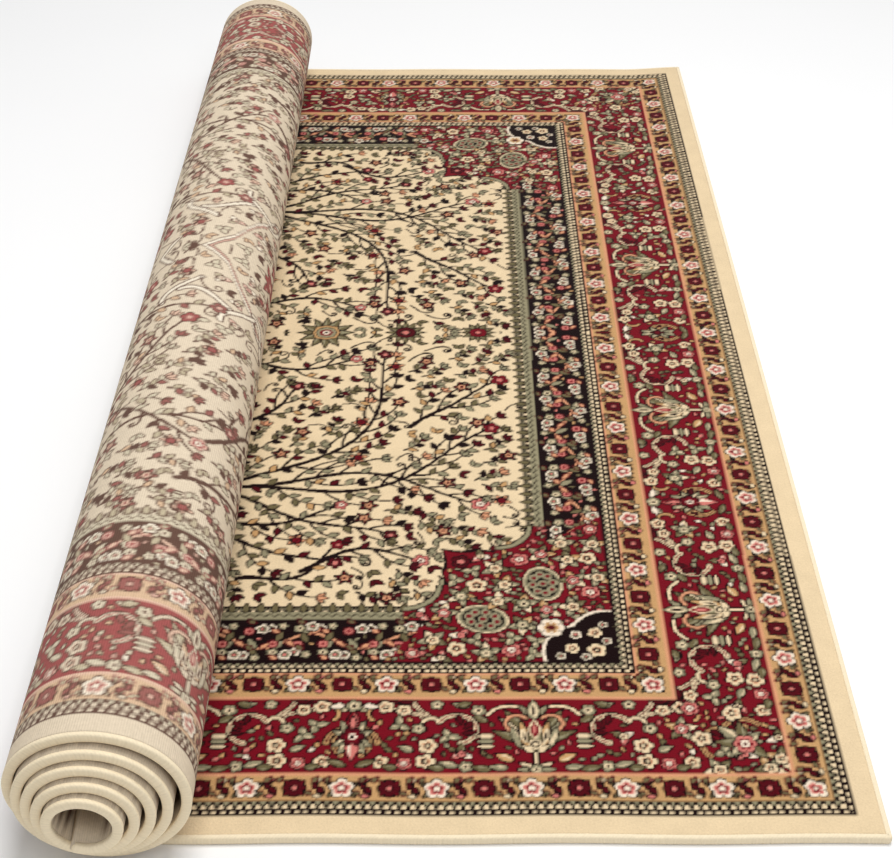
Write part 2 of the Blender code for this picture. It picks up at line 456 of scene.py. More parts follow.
def weave_panel(knots, run, start):
    """The black panel: a swaying red stem with leaves, and white roses on both sides of it."""
    middle = PANEL_AT + 28
    x = np.arange(0, run, 6.0)
    line = x + 1j * (middle + 10 * np.sin(tau * (x - start) / PANEL_REPEAT))
    stroke(knots, line, 3.0, SALMON)
    for number, place in enumerate(np.arange(start % (PANEL_REPEAT / 4), run, PANEL_REPEAT / 4)):
        side = 1 if number % 2 else -1
        sway = 10 * sin(tau * (place - start) / PANEL_REPEAT)
        leaf(knots, place + 4, middle + sway, side * 1.0, 16, 6.4, SAGE)
        leaf(knots, place + 9, middle + sway, -side * 2.0, 14, 6, OLIVE)
        leaf(knots, place, middle + sway, side * 2.4, 11, 5, SALMON, MAROON)
        for offset, height, radius, rings in (
                (0, 18, 6.6, WHITE_ROSE), (11.5, 15, 5.2, SAGE_ROSE), (4, -20, 4.6, SAGE_ROSE),
                (15, -17, 5.6, WHITE_ROSE)):
            blossom(knots, place + offset, middle + side * height + 0.2 * sway, radius, 5, rings, 0.4 + offset)
        diamond(knots, place + 12, middle + side * 4 - 0.9 * sway, 4.2, ((1.0, PINK), (0.5, CRIMSON)), MAROON)
        for height in (24, -11):
            leaf(knots, place + 7, middle + side * height, 0.6, 9, 4.6, (SALMON, OLIVE)[number % 2], MAROON)
    fill_gaps(knots, (0, PANEL_AT + 4, run, PANEL_AT + 54), BLACK, 9.0, 4.0, draw_tiny_leaf)


def weave_teeth(knots, run):
    """The field's toothed edge: a sage strip with a dark line, and small trefoils that point to the field."""
    rows = knots[TEETH_AT:TEETH_AT + 13, :run]
    depth = np.arange(13)[:, None] + np.zeros(run)
    rows[depth < 1.5] = BLACK
    wiggle = 7 + 1.6 * np.sin(tau * np.arange(run) / 9.0)[None, :]
    rows[abs(depth - wiggle) < 0.9] = BLACK
    for x in np.arange(TEETH_REPEAT / 4, run, TEETH_REPEAT / 2):
        for turn in (0.8, pi - 0.8):
            leaf(knots, x, TEETH_AT + 12, turn, 9, 4.2, SAGE)
        leaf(knots, x, TEETH_AT + 11, pi / 2, 19 if round(2 * x / TEETH_REPEAT) % 2 else 13, 6, OLIVE)


def weave_side(knots, first_palmette, palmette_repeat, panel_start):
    """All the borders along one side, the depth running down the rows."""
    run = knots.shape[1]
    for depth, yarn in GROUNDS:
        knots[depth:] = yarn
    weave_guard(knots, GUARD_AT, 16, run)
    weave_guard(knots, INNER_GUARD_AT, 14, run)
    weave_gold_border(knots, (OUTER_GOLD_AT + MAIN_AT) / 2 - 2, 51, run)
    weave_gold_border(knots, (INNER_GOLD_AT + INNER_GUARD_AT) / 2, 175, run)
    band = knots[MAIN_AT:INNER_GOLD_AT - 4]
    middle = band.shape[0] / 2
    for x in np.arange(first_palmette, run + palmette_repeat, palmette_repeat):
        for side in (-1, 1):
            weave_scrolls(band, x, middle, side)
    for x in np.arange(first_palmette, run + palmette_repeat, palmette_repeat):
        weave_palmette(band, x, middle)
        weave_small_palmette(band, x + palmette_repeat / 2, middle)
    fill_crimson(band, (0, 5, run, band.shape[0] - 4))
    weave_panel(knots, run, panel_start)
    weave_teeth(knots, run)


# Boughs of the field: root along and across, heading, length, bend, sway, the flower at the tip and its radius
BOUGHS = (
    (590, 466, 2.62, 330, -0.95, 0.30, DARK_ROSE, 11),
    (588, 462, 2.95, 320, -0.35, 0.42, RED_ROSE, 12),
    (560, 466, 3.12, 250, 0.30, -0.35, PINK_ROSE, 13),
    (588, 456, 3.40, 190, 0.25, 0.30, DARK_ROSE, 9),
    (588, 404, 3.05, 130, -0.3, 0.25, PINK_ROSE, 9),
    (588, 388, 3.45, 130, 0.1, 0.2, DARK_ROSE, 10),
    (398, 570, 2.12, 135, 0.55, 0.2, RED_ROSE, 13),
    (585, 700, 3.45, 130, -0.7, 0.2, PINK_ROSE, 9),
    (580, 575, 2.35, 95, -0.3, 0.2, DARK_ROSE, 11),
    (500, 330, 2.55, 130, 0.9, -0.3, PINK_ROSE, 11),
    (560, 320, 2.9, 120, -0.5, 0.5, RED_ROSE, 9),
    (640, 470, 0.35, 260, 0.5, -0.4, RED_ROSE, 12),
    (640, 478, 0.95, 270, 0.3, 0.4, DARK_ROSE, 12),
    (640, 462, -0.15, 260, -0.3, 0.4, PINK_ROSE, 12),
    (690, 560, 0.7, 200, -0.6, 0.3, DARK_ROSE, 11),
    (650, 640, 0.9, 160, -0.9, 0.3, RED_ROSE, 11),
    (700, 350, 0.3, 230, 0.2, 0.5, DARK_ROSE, 10),
    (860, 330, 0.5, 170, 0.2, -0.5, PINK_ROSE, 10),
    (880, 400, 0.6, 170, 0.4, 0.3, RED_ROSE, 10),
)
# Where the sprigs point away from
FIELD_ROOT = 600 + 460j
FIELD_LEAVES = (SAGE, OLIVE, GOLD, SAGE, BLACK, OLIVE, MAROON)


def leave_out(knots, line, step, length, number):
    """Leaves in turn on the two sides of a stem, each where its far half has room on the cream."""
    for at in range(1, len(line) - 1, step):
        direction = np.angle(line[at + 1] - line[at - 1])
        turn = direction + (0.85 if (at + number) // step % 2 else -0.85)
        if is_free(knots, line[at] + 0.75 * length * np.exp(1j * turn), 0.34 * length, CREAM):
            yarn = FIELD_LEAVES[(at + number) % 7]
            leaf(knots, line[at].real, line[at].imag, turn, length, 0.5 * length, yarn)


def draw_tip(knots, place, turn, number):
    """What ends a twig: a tulip of three leaves, or a small rose with a star of leaves behind it."""
    if number % 5 == 0:
        for point in range(5):
            leaf(knots, place.real, place.imag, turn + tau * point / 5, 10, 4.8, (MAROON, SALMON)[number % 2])
        rings = ((1.0, (SALMON, CRIMSON)[number % 2]), (0.5, MAROON))
        blossom(knots, place.real, place.imag, 4.2, 5, rings, turn)
        return
    yarn = (MAROON, SAGE, SALMON, OLIVE, MAROON, SAGE, BLACK)[number % 7]
    for side in (-0.75, 0.75, 0.0):
        leaf(knots, place.real, place.imag, turn + side, 10, 4.6, yarn)


def draw_sprig(knots, x, y, number):
    """A slender dark twig that points away from the root of the boughs, with leaves in turn and a tip."""
    turn = np.angle(x + 1j * y - FIELD_ROOT) + 0.45 * sin(number)
    side = 1 if number % 2 else -1
    twig = stem(x + 1j * y - 14 * np.exp(1j * turn), turn - side * 0.4, 30, side * 0.9, steps=6)
    if not all(is_free(knots, place, 6.0, CREAM) for place in twig[::2]):
        return
    stroke(knots, twig, 3.2, BLACK, 2.0)
    for at in range(1, 6):
        direction = np.angle(twig[at + 1] - twig[at])
        leaf(knots, twig[at].real, twig[at].imag, direction + (0.9 if at % 2 else -0.9), 11 - 0.4 * at, 5.2,
             FIELD_LEAVES[(at + number) % 7])
    draw_tip(knots, twig[6], turn, number)


def draw_field_leaf(knots, x, y, number):
    """A short dark twig with two leaves, or a curled tendril."""
    turn = np.angle(x + 1j * y - FIELD_ROOT) + 0.7 * sin(3 * number)
    if number % 3 == 0:
        stroke(knots, stem(x + 1j * y - 7 * np.exp(1j * turn), turn, 36, 0, 0, 8.0, steps=16), 2.2, BLACK)
        return
    for side in (0.5, -0.8):
        leaf(knots, x - 5 * cos(turn), y - 5 * sin(turn), turn + side, 10.5, 5.2, FIELD_LEAVES[number % 7])


def weave_field(knots):
    """The cream field: dark boughs that spread from their roots, their leafy twigs and curls, loose sprigs."""
    boughs = [stem(along + 1j * across, heading, length, bend, sway, steps=int(length / 6))
              for along, across, heading, length, bend, sway, *_ in BOUGHS]
    for line in boughs:
        stroke(knots, line, 6.0, BLACK, 3.0)
    twigs = []
    for number, line in enumerate(boughs):
        for order, at in enumerate(range(3, len(line) - 2, 2)):
            side = 1 if order % 2 else -1
            direction = np.angle(line[at + 1] - line[at])
            length = 66 - 34 * at / len(line)
            curled = (order + number) % 5 == 2
            twig = stem(line[at], direction + side * 0.85, length, -side * 0.9, 0, side * 8.5 if curled else 0,
                        steps=int(length / 4))
            if is_free(knots, twig[-1], 6.0, CREAM) and is_free(knots, twig[2 * len(twig) // 3], 4.0, CREAM):
                stroke(knots, twig, 3.2, BLACK, 2.2)
                twigs.append((twig, curled))
    for (_, _, heading, *_, flower, radius), line in zip(BOUGHS, boughs):
        blossom(knots, line[-1].real, line[-1].imag, 0.75 * radius, 5, flower, heading)
    for number, (twig, curled) in enumerate(twigs):
        if not curled:
            draw_tip(knots, twig[-1], np.angle(twig[-1] - twig[-2]), number)
        leave_out(knots, twig[:len(twig) // 2] if curled else twig, 2, 12.0, number)
    for number, line in enumerate(boughs):
        leave_out(knots, line, 2, 12.5, number)
    for along, across, heading in ((402, 700, 2.2), (384, 722, 2.6), (428, 735, 3.0), (470, 728, 2.4)):
        curl = stem(along + 1j * across, heading, 58, 0, 0, 9.0, steps=20)
        stroke(knots, curl, 2.6, BLACK)
    for along, radius, yarns in ((500, 20, LANTERN), (407, 14, DARK_ROSE), (322, 12, RED_ROSE)):
        for turn in (0.0, 0.5, 1.1, pi / 2, pi - 1.1, pi - 0.5, pi):
            for flip in (-1, 1):
                leaf(knots, along, QUARTER_ACROSS, flip * turn, 1.7 * radius, 0.4 * radius + 2, OLIVE)
        diamond(knots, along, QUARTER_ACROSS, 0.8 * radius, yarns)
    field = (FIELD_AT - 4, FIELD_AT + 2, QUARTER_ALONG + 20, QUARTER_ACROSS + 20)
    fill_gaps(knots, field, CREAM, 9.0, 7.0, draw_sprig)
    fill_gaps(knots, field, CREAM, 10.0, 7.0, draw_field_leaf)


def weave_spandrel(knots):
    """The crimson corner: a stepped block of flowers, with oval medallions and a scalloped black patch.

    It reaches 362 mm along both sides at the field, and 0.72 mm more for each mm nearer the edge than 282, less
    a scallop of up to 4 mm. Beside it the corner of the field is rounded, with a radius of 38 mm.
    """
    y, x = np.mgrid[0:knots.shape[0], 0:knots.shape[1]].astype(float)
    far, near = np.maximum(x, y), np.minimum(x, y)
    scallop = 4.0 * abs(np.sin((x - y) * pi / 34.0))
    edge = 362 + 0.72 * np.maximum(0.0, 282 - near) - scallop
    knots[(near > PANEL_AT) & (far < edge + 3.0) & (near > 262)] = BLACK
    rounded = np.where((far < 400) & (near > TEETH_AT) & (near < 311), np.hypot(far - 400, near - 311) - 38, -9)
    for margin, yarn in ((-7.0, BLACK), (-5.6, SAGE), (-1.2, BLACK), (0.4, CRIMSON)):
        knots[rounded > margin] = yarn
    knots[(near > PANEL_AT) & (far < edge)] = CRIMSON
    for along, across, turn in ((267, 312, 1.4), (325, 262, 0.3)):
        view, p, q = patch(knots, along, across, 28, turn)
        oval = np.hypot(p / 24, q / 18)
        view[oval < 1.1] = BLACK
        view[oval < 1.03] = CREAM
        view[oval < 0.96] = SAGE
        view[oval < 0.84] = BLACK
        for ring in range(9):
            angle = tau * ring / 8
            reach = 0.0 if ring == 8 else 13.0
            dot = np.hypot(p - reach * 1.05 * cos(angle), q - reach * 0.75 * sin(angle))
            view[dot < 4.8] = SAGE
            view[dot < 2.4] = CRIMSON
    for along, across, radius, rings in (
            (262, 250, 13, CREAM_ROSE), (300, 220, 9, PINK_ROSE), (222, 300, 9, PINK_ROSE),
            (350, 222, 9, CREAM_ROSE), (222, 350, 9, CREAM_ROSE), (330, 310, 10, CREAM_ROSE),
            (288, 348, 9, PINK_ROSE), (390, 216, 7, PINK_ROSE), (216, 395, 7, PINK_ROSE),
            (345, 345, 9, DARK_ROSE)):
        blossom(knots, along, across, radius, 5, rings, 0.1 * along)
    fill_crimson(knots, (PANEL_AT + 5, PANEL_AT + 5, 440, 440), 0.76)
    lobes = 66 + 7 * abs(np.sin(3.5 * np.arctan2(y - 200, x - 200)))
    for outline, yarn in ((3, IVORY), (0, BLACK)):
        knots[(near > PANEL_AT) & (np.hypot(x - 200, y - 200) < lobes + outline)] = yarn
    for along, across, radius in (
            (222, 220, 9), (244, 222, 7), (222, 243, 7), (240, 240, 6), (214, 254, 5), (255, 212, 5),
            (212, 232, 5), (232, 211, 5)):
        blossom(knots, along, across, radius, 5, CREAM_ROSE if radius > 6 else WHITE_ROSE, radius)
    blossom(knots, 262, 250, 13, 6, ((1.0, IVORY), (0.6, GOLD), (0.35, MAROON)))


def weave_border_corner(knots):
    """Where the main borders meet: a sage flower on the diagonal, with leaves and roses about it."""
    middle = (MAIN_AT + INNER_GOLD_AT) / 2
    for turn, length, width, yarn in (
            (pi / 4, 30, 12, SAGE), (0.1, 26, 10, OLIVE), (pi / 2 - 0.1, 26, 10, OLIVE), (-0.8, 20, 9, SAGE),
            (pi / 2 + 0.8, 20, 9, SAGE), (-2.4, 24, 10, OLIVE)):
        leaf(knots, middle - 12, middle - 12, turn, length, width, yarn)
    blossom(knots, middle - 12, middle - 12, 10, 6, PINK_ROSE)
    for along, across in ((140, 110), (110, 140)):
        blossom(knots, along, across, 9, 5, CREAM_ROSE)
    blossom(knots, 146, 146, 8, 5, PINK_ROSE)


def weave_medallion(knots):
    """The centre medallion's end: a pink ogee with a scalloped cream and black outline, filled with flowers.

    Its half width grows from the tip as 130 (1 - cos) / 2 over the first 95 mm, with a scallop every 34 mm.
    """
    y, x = np.mgrid[0:knots.shape[0], 0:knots.shape[1]].astype(float)
    from_tip = x - (QUARTER_ALONG - 228)
    half = 65 * (1 - np.cos(pi * np.clip(from_tip / 95, 0, 1))) + 7 * abs(np.sin(pi * from_tip / 34))
    inside = np.where(from_tip > 0, half - abs(y - QUARTER_ACROSS), -1.0)
    for depth, yarn in ((0, BLACK), (2, IVORY), (7, BLACK), (9, PINK), (12, BLACK), (14, CREAM)):
        knots[inside > depth] = yarn
    for along, across, radius, rings in (
            (925, 762, 17, RED_ROSE), (985, 700, 13, CREAM_ROSE), (960, 740, 10, PINK_ROSE),
            (1040, 740, 15, RED_ROSE), (930, 720, 9, RED_ROSE), (1010, 660, 10, RED_ROSE)):
        for turn in np.arange(6) * tau / 6:
            leaf(knots, along, across, turn, 1.9 * radius, 0.6 * radius, CRIMSON if cos(3 * turn) > 0 else SAGE)
        blossom(knots, along, across, radius, 6, rings)
    for along, across, turn in (
            (800, 735, 2.3), (872, 640, 2.6), (838, 690, -2.3), (930, 610, 2.0), (905, 655, -2.4)):
        for width, yarn in ((8.4, BLACK), (4.6, IVORY)):
            stroke(knots, stem(along + 1j * across, turn, 62, -0.8, 0, 2.0), width, yarn)
        stroke(knots, stem(along + 1j * across, turn + 0.9, 60, 0.4, 0, 7.0, steps=16), 2.0, BLACK)
    box = (QUARTER_ALONG - 210, 600, QUARTER_ALONG + 30, QUARTER_ACROSS + 20)
    fill_gaps(knots, box, CREAM, 15.0, 9.5, draw_border_figure)


def draw_quarter():
    """The quarter: borders mitred on the diagonal, the field where they leave it cream, then the corners."""
    shape = (QUARTER_ACROSS + OVERRUN, QUARTER_ALONG + OVERRUN)
    long_side, short_side = np.zeros(shape, np.uint8), np.zeros(shape[::-1], np.uint8)
    weave_side(long_side, 283, 313.6, 460)
    weave_side(short_side, 275, 328.0, 440)
    across, along = np.mgrid[0:shape[0], 0:shape[1]]
    depth = np.minimum(across, along)
    borders = np.where(across < along, long_side, short_side.T)
    field = borders.copy()
    weave_medallion(field)
    weave_field(field)
    knots = np.where((borders == CREAM) & (depth > TEETH_AT + 8), field, borders)
    weave_spandrel(knots)
    knots = np.where(depth <= PANEL_AT, borders, knots)
    weave_border_corner(knots)
    return knots


# Each yarn as it shows on the pile and through the back, from cream to olive
YARN_DYES = np.array([
    (222, 198, 160), (112, 16, 30), (188, 146, 99), (142, 134, 106), (26, 9, 10),
    (200, 116, 106), (232, 214, 190), (78, 10, 22), (208, 146, 110), (104, 94, 66)]) / 255.0
BACK_DYES = np.array([
    (214, 197, 172), (154, 84, 80), (206, 174, 142), (202, 190, 164), (98, 73, 62),
    (210, 168, 150), (232, 219, 197), (150, 96, 88), (216, 180, 156), (184, 170, 142)]) / 255.0
chart = draw_quarter()

# --- The cloth's shape ---
# One woven sheet lies flat on the right and winds into a roll on the left: along the floor, up the left side,
# over the top and inwards, back outwards. Its turns slide out of the near end, and the roll narrows to the far
# end.
THICKNESS = 0.0076
TURNS = 5
# At the near and far end: flat run, roll width and height, the step from turn to turn on the left, right, top
# and bottom, and how far the outer turn gapes on the right
NEAR_ROLL = (0.6253, 0.148, 0.140, 0.0090, 0.0113, 0.0099, 0.0093, 0.0082)
FAR_ROLL = (0.6285, 0.135, 0.126, 0.0079, 0.0083, 0.0081, 0.0079, 0.0006)
GAPE_TURNS = 0.9
ROLL_SWELL = 0.0004
FIRST_SLIDE = 0.0135
FIRST_SLIDE_TURNS = 0.25
SLIDE_PER_TURN = 0.0072
TAIL_CLEARANCE = 0.0016
EDGE_WAVE = 0.0007
EDGE_WAVES = 3.0
CORNER_SPAN = 0.09
# Width of cloth that the serged edge covers
SERGED = 0.0045


def smooth(share):
    """0 to 1 with level ends: 3t^2 - 2t^3."""
    share = np.clip(share, 0.0, 1.0)
    return share * share * (3.0 - 2.0 * share)


def roll_sizes(across):
    """NEAR_ROLL and FAR_ROLL blended at a share of the carpet's width, with a slight swell along the roll."""
    swell = ROLL_SWELL * np.sin(EDGE_WAVES * pi * across)
    flat_run, width, height, *steps = [near + (far - near) * across for near, far in zip(NEAR_ROLL, FAR_ROLL)]
    return flat_run, width + swell, height - swell, *steps


def gaped(turn):
    """Share of the gape that a turn count has passed: 1 - exp(-turn / spread)."""
    return 1.0 - np.exp(-turn / GAPE_TURNS)


def roll_axes(turn, across):
    """The back's ellipse at a turn count: half width, half height, and its centre's shift and lift.

    The half axes shrink by the mean step of their two sides for each turn, and the centre moves by half the
    difference of the steps.
    """
    flat_run, width, height, left, right, top, bottom, gape = roll_sizes(across)
    side, upright = (left + right) / 2, (top + bottom) / 2
    lost = (left + 3 * right) / 4 + gape * gaped(0.75)
    half_width = (width + lost) / 2 - side * turn - gape * gaped(turn) / 2
    first_height = (height + upright / 2 - (bottom - upright) / 2) / 2
    half_height = first_height - upright * turn
    shift = -flat_run - turn * (right - left) / 2 - gape * gaped(turn) / 2
    return half_width, half_height, shift, first_height + turn * (bottom - top) / 2


def wound_length(turn, across):
    """Cloth in the roll up to a turn count: 2 pi times the integral of the mid cloth's mean radius."""
    _, _, _, left, right, top, bottom, gape = roll_sizes(across)
    half_width, half_height, _, _ = roll_axes(0.0, across)
    radius = (half_width + half_height - THICKNESS) / 2
    step = (left + right + top + bottom) / 4
    loose = gape / 4 * (turn - GAPE_TURNS * gaped(turn))
    return tau * (radius * turn - step * turn ** 2 / 2 - loose)


def cloth_run(turn, across):
    """Length along the carpet from its right edge; turn is -1 there and 0 where the roll stands."""
    flat_run = roll_sizes(across)[0]
    return flat_run * np.minimum(1.0 + turn, 1.0) + wound_length(np.maximum(turn, 0.0), across)


def tail_end(across):
    """Turn count at which the carpet's length is used up, by Newton's steps on wound_length."""
    turn = np.full(np.shape(across), float(TURNS))
    wanted = CARPET_LENGTH - roll_sizes(across)[0]
    for _ in range(8):
        slope = (wound_length(turn + 0.01, across) - wound_length(turn, across)) / 0.01
        turn = turn + (wanted - wound_length(turn, across)) / slope
    return turn


def slide(turn):
    """How far a turn has slid out of the near end: a step in its first part, then evenly."""
    wound = np.maximum(turn, 0.0)
    return FIRST_SLIDE * (1.0 - np.exp(-wound / FIRST_SLIDE_TURNS)) + SLIDE_PER_TURN * wound


def cloth_place(turn, across, rise=0.0):
    """Places on the cloth. Turn runs from -1 at the right edge by 0, where the roll stands, into the core; rise
    is the height over the back, towards the pile.

    Flat: x = -(1 + turn) L, z = rise. Wound, with a = 2 pi turn: x = shift - (w - rise) sin a and
    z = lift - (h - rise) cos a.
    """
    turn, across, rise = np.broadcast_arrays(turn, across, rise)
    half_width, half_height, shift, lift = roll_axes(np.maximum(turn, 0.0), across)
    inward = rise + TAIL_CLEARANCE * smooth(3.0 * (turn - TURNS))
    angle = tau * np.maximum(turn, 0.0)
    flat_run = roll_sizes(across)[0]
    x = shift - (half_width - inward) * np.sin(angle) - flat_run * np.minimum(turn, 0.0)
    z = lift - (half_height - inward) * np.cos(angle)
    run = np.clip(-turn, 0.0, 1.0)
    edge = 2 * across - 1
    sway = EDGE_WAVE * edge ** 3 * np.sin(tau * EDGE_WAVES * run)
    corner = CORNER_REACH * smooth(1.0 - (1.0 - run) * flat_run / CORNER_SPAN) * smooth(edge)
    y = (across - 0.5) * CARPET_WIDTH - slide(turn) + np.where(turn < 0, sway + corner, 0.0)
    return np.stack((right_x + x, middle_y + y, z), axis=-1)


def yarn_colours(turn, across, colours):
    """The chart's colours at places of the cloth, each the mean of the knots about it."""
    turn, across = np.broadcast_arrays(turn, across)
    along = 1000.0 * np.clip(cloth_run(turn, across), 0.0, CARPET_LENGTH)
    along = np.minimum(along, 1000.0 * CARPET_LENGTH - along)
    over = 1000.0 * np.minimum(across, 1.0 - across) * CARPET_WIDTH
    total = 0.0
    for step_along, step_across in ((-0.5, -0.5), (0.5, -0.5), (-0.5, 0.5), (0.5, 0.5)):
        column = np.clip(along + step_along, 0, QUARTER_ALONG - 1).astype(int)
        row = np.clip(over + step_across, 0, QUARTER_ACROSS - 1).astype(int)
        total = total + colours[chart[row, column]]
    return total / 4.0


def add_cloth(name, places, faces, turn, across, colours, material):
    """Quads with the cloth's length and width as their UV map, and the chart's colours if any are given."""
    mesh = bpy.data.meshes.new(name)
    places = places.reshape(-1, 3)
    mesh.vertices.add(len(places))
    mesh.vertices.foreach_set("co", places.ravel())
    mesh.loops.add(faces.size)
    mesh.loops.foreach_set("vertex_index", faces.ravel().astype(np.int32))
    mesh.polygons.add(len(faces))
    mesh.polygons.foreach_set("loop_start", np.arange(0, faces.size, 4, dtype=np.int32))
    mesh.polygons.foreach_set("use_smooth", np.ones(len(faces), bool))
    mesh.update(calc_edges=True)
    run = np.broadcast_to(cloth_run(turn, across), turn.shape).ravel()
    metres = np.stack((run, across.ravel() * CARPET_WIDTH), axis=-1)
    cloth_map = mesh.uv_layers.new(name="cloth")
    cloth_map.data.foreach_set("uv", metres[faces.ravel()].ravel())
    if colours is not None:
        dyed = mesh.color_attributes.new(name="yarn", type="FLOAT_COLOR", domain="POINT")
        rgba = np.ones((len(places), 4))
        rgba[:, :3] = yarn_colours(turn, across, colours).reshape(-1, 3)
        dyed.data.foreach_set("color", rgba.ravel())
    mesh.validate()
    mesh.materials.append(material)
    piece = bpy.data.objects.new(name, mesh)
    bpy.context.scene.collection.objects.link(piece)
    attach(piece, "root")
    return piece


def grid_quads(shape):
    """Corners of the quads of a grid, numbered row by row."""
    corner = np.arange(shape[0] * shape[1]).reshape(shape)
    corners = corner[:-1, :-1], corner[:-1, 1:], corner[1:, 1:], corner[1:, :-1]
    return np.stack(corners, axis=-1).reshape(-1, 4)


def tube_quads(shape):
    """Corners of the quads of a tube, each row of places a closed ring round it."""
    corner = np.arange(shape[0] * shape[1]).reshape(shape)
    after = np.roll(corner, -1, axis=1)
    return np.stack((corner[:-1], after[:-1], after[1:], corner[1:]), axis=-1).reshape(-1, 4)


def strip_grid(turn, start, end, knot):
    """A strip's turn counts and shares across the width from start to end, and which places lie on its rim.

    The first and last row and column come twice, and the outer of the two is the rim, which turns in to the
    ground cloth. Where two strips meet they have none.
    """
    across = np.linspace(start, end, int((end - start) / knot)) / CARPET_WIDTH
    turn = np.concatenate((turn[:1], turn, turn[-1:]))
    across = np.concatenate((across[:1], across, across[-1:]))
    turns, acrosses = np.meshgrid(turn, across)
    rim = np.zeros(turns.shape, bool)
    rim[:, [0, -1]] = True
    rim[0] |= start == SERGED
    rim[-1] |= end == CARPET_WIDTH - SERGED
    return turns, acrosses, rim


# --- The pile ---
# Cut pile of dyed yarn stands on the flat part, dense and even. It is built in three strips across the carpet,
# with finer knots nearer the eye, closed down to the ground cloth at the outer rims.
PILE_STRIPS = (("pile_near", SERGED, 0.355, 0.0016), ("pile_middle", 0.355, 0.860, 0.00185),
               ("pile_far", 0.860, CARPET_WIDTH - SERGED, 0.0022))
PILE_UNDER_ROLL = 0.030
PILE_SINK = 0.0012
SRGB_GAMMA = 2.2
FRONT_COLOURS = YARN_DYES ** SRGB_GAMMA

pile_finish = Finish("cut_pile", 0.92)
pile_finish.shader.inputs["Sheen Weight"].default_value = 0.12
pile_finish.shader.inputs["Sheen Roughness"].default_value = 0.4
pile_finish.shader.inputs["Specular IOR Level"].default_value = 0.08
pile_map = pile_finish.node("ShaderNodeUVMap", {"uv_map": "cloth"})
pile_yarn = pile_finish.node("ShaderNodeAttribute", {"attribute_name": "yarn"}, output="Color")
tufts = pile_finish.noise(pile_map, 520.0, 3.0, 0.6)
nap = pile_finish.noise(pile_map, 38.0, 3.0, 0.55)
pile_finish.dye(pile_yarn, 0.72 + 0.34 * tufts + 0.22 * nap)
pile_finish.bump(tufts + 0.6 * nap, 0.55, 0.0016)


def add_pile(name, start, end, knot):
    """A strip of pile across the carpet: a grid over the flat run, its outer rims turned down."""
    reach = NEAR_ROLL[0] - PILE_UNDER_ROLL - SERGED
    turn = -1 + (SERGED + reach * np.linspace(0, 1, int(reach / knot))) / NEAR_ROLL[0]
    turns, acrosses, rim = strip_grid(turn, start, end, knot)
    places = cloth_place(turns, acrosses, np.where(rim, THICKNESS - PILE_SINK, THICKNESS))
    faces = grid_quads(turns.shape)[:, ::-1]
    return add_cloth(name, places, faces, turns, acrosses, FRONT_COLOURS, pile_finish.material)


pile_strips = [add_pile(*strip) for strip in PILE_STRIPS]

# --- The woven back ---
# The roll shows the back of its outer turn. The pattern comes through paler between jute-coloured wefts, which
# stand up as fine ribs along the roll.
BACK_STRIPS = (("back_near", SERGED, 0.80, 0.0020), ("back_far", 0.80, CARPET_WIDTH - SERGED, 0.0025))
BACK_TURNS = 1.0
BACK_STAND = 0.0003
# Part of a turn over which the back rises from the ground cloth at both ends
BACK_EASE = 0.06
RIB_PITCH = 0.0020
BACK_COLOURS = BACK_DYES ** SRGB_GAMMA

back_finish = Finish("woven_back", 0.9)
back_finish.shader.inputs["Specular IOR Level"].default_value = 0.2
back_map = back_finish.node("ShaderNodeUVMap", {"uv_map": "cloth"})
back_yarn = back_finish.node("ShaderNodeAttribute", {"attribute_name": "yarn"}, output="Color")
back_length = back_finish.node("ShaderNodeSeparateXYZ", {}, {0: back_map}, output="X")
ribs = (back_length * (tau / RIB_PITCH)).sine()
slubs = back_finish.noise(back_map, 260.0, 3.0, 0.6)
back_finish.dye(back_yarn, 0.84 + 0.035 * ribs + 0.30 * slubs)
back_finish.bump(0.3 * ribs + slubs, 0.4, 0.0009)


def add_back(name, start, end, knot):
    """A strip of the outer turn's back, a grid over one turn, its outer rims turned in to the ground cloth."""
    turn = np.linspace(0.0, BACK_TURNS, int(wound_length(BACK_TURNS, 0.0) / knot))
    turns, acrosses, rim = strip_grid(turn, start, end, knot)
    stand = BACK_STAND * smooth(turns / BACK_EASE) * smooth((BACK_TURNS - turns) / BACK_EASE)
    places = cloth_place(turns, acrosses, np.where(rim, PILE_SINK, -stand))
    return add_cloth(name, places, grid_quads(turns.shape), turns, acrosses, BACK_COLOURS, back_finish.material)


back_strips = [add_back(*strip) for strip in BACK_STRIPS]

# --- The ground cloth ---
# The woven sheet itself, from the flat right edge to the loose tail in the core. Pile and back show on it where
# the carpet is seen close to; its inner turns show only as cream edges.
GROUND_UNDER_PILE = 0.0005
GROUND_INSET = 0.0025
FLAT_STEPS = 60
STEPS_PER_TURN = 48
TAIL_STEPS = 24
GROUND_ROWS = 60


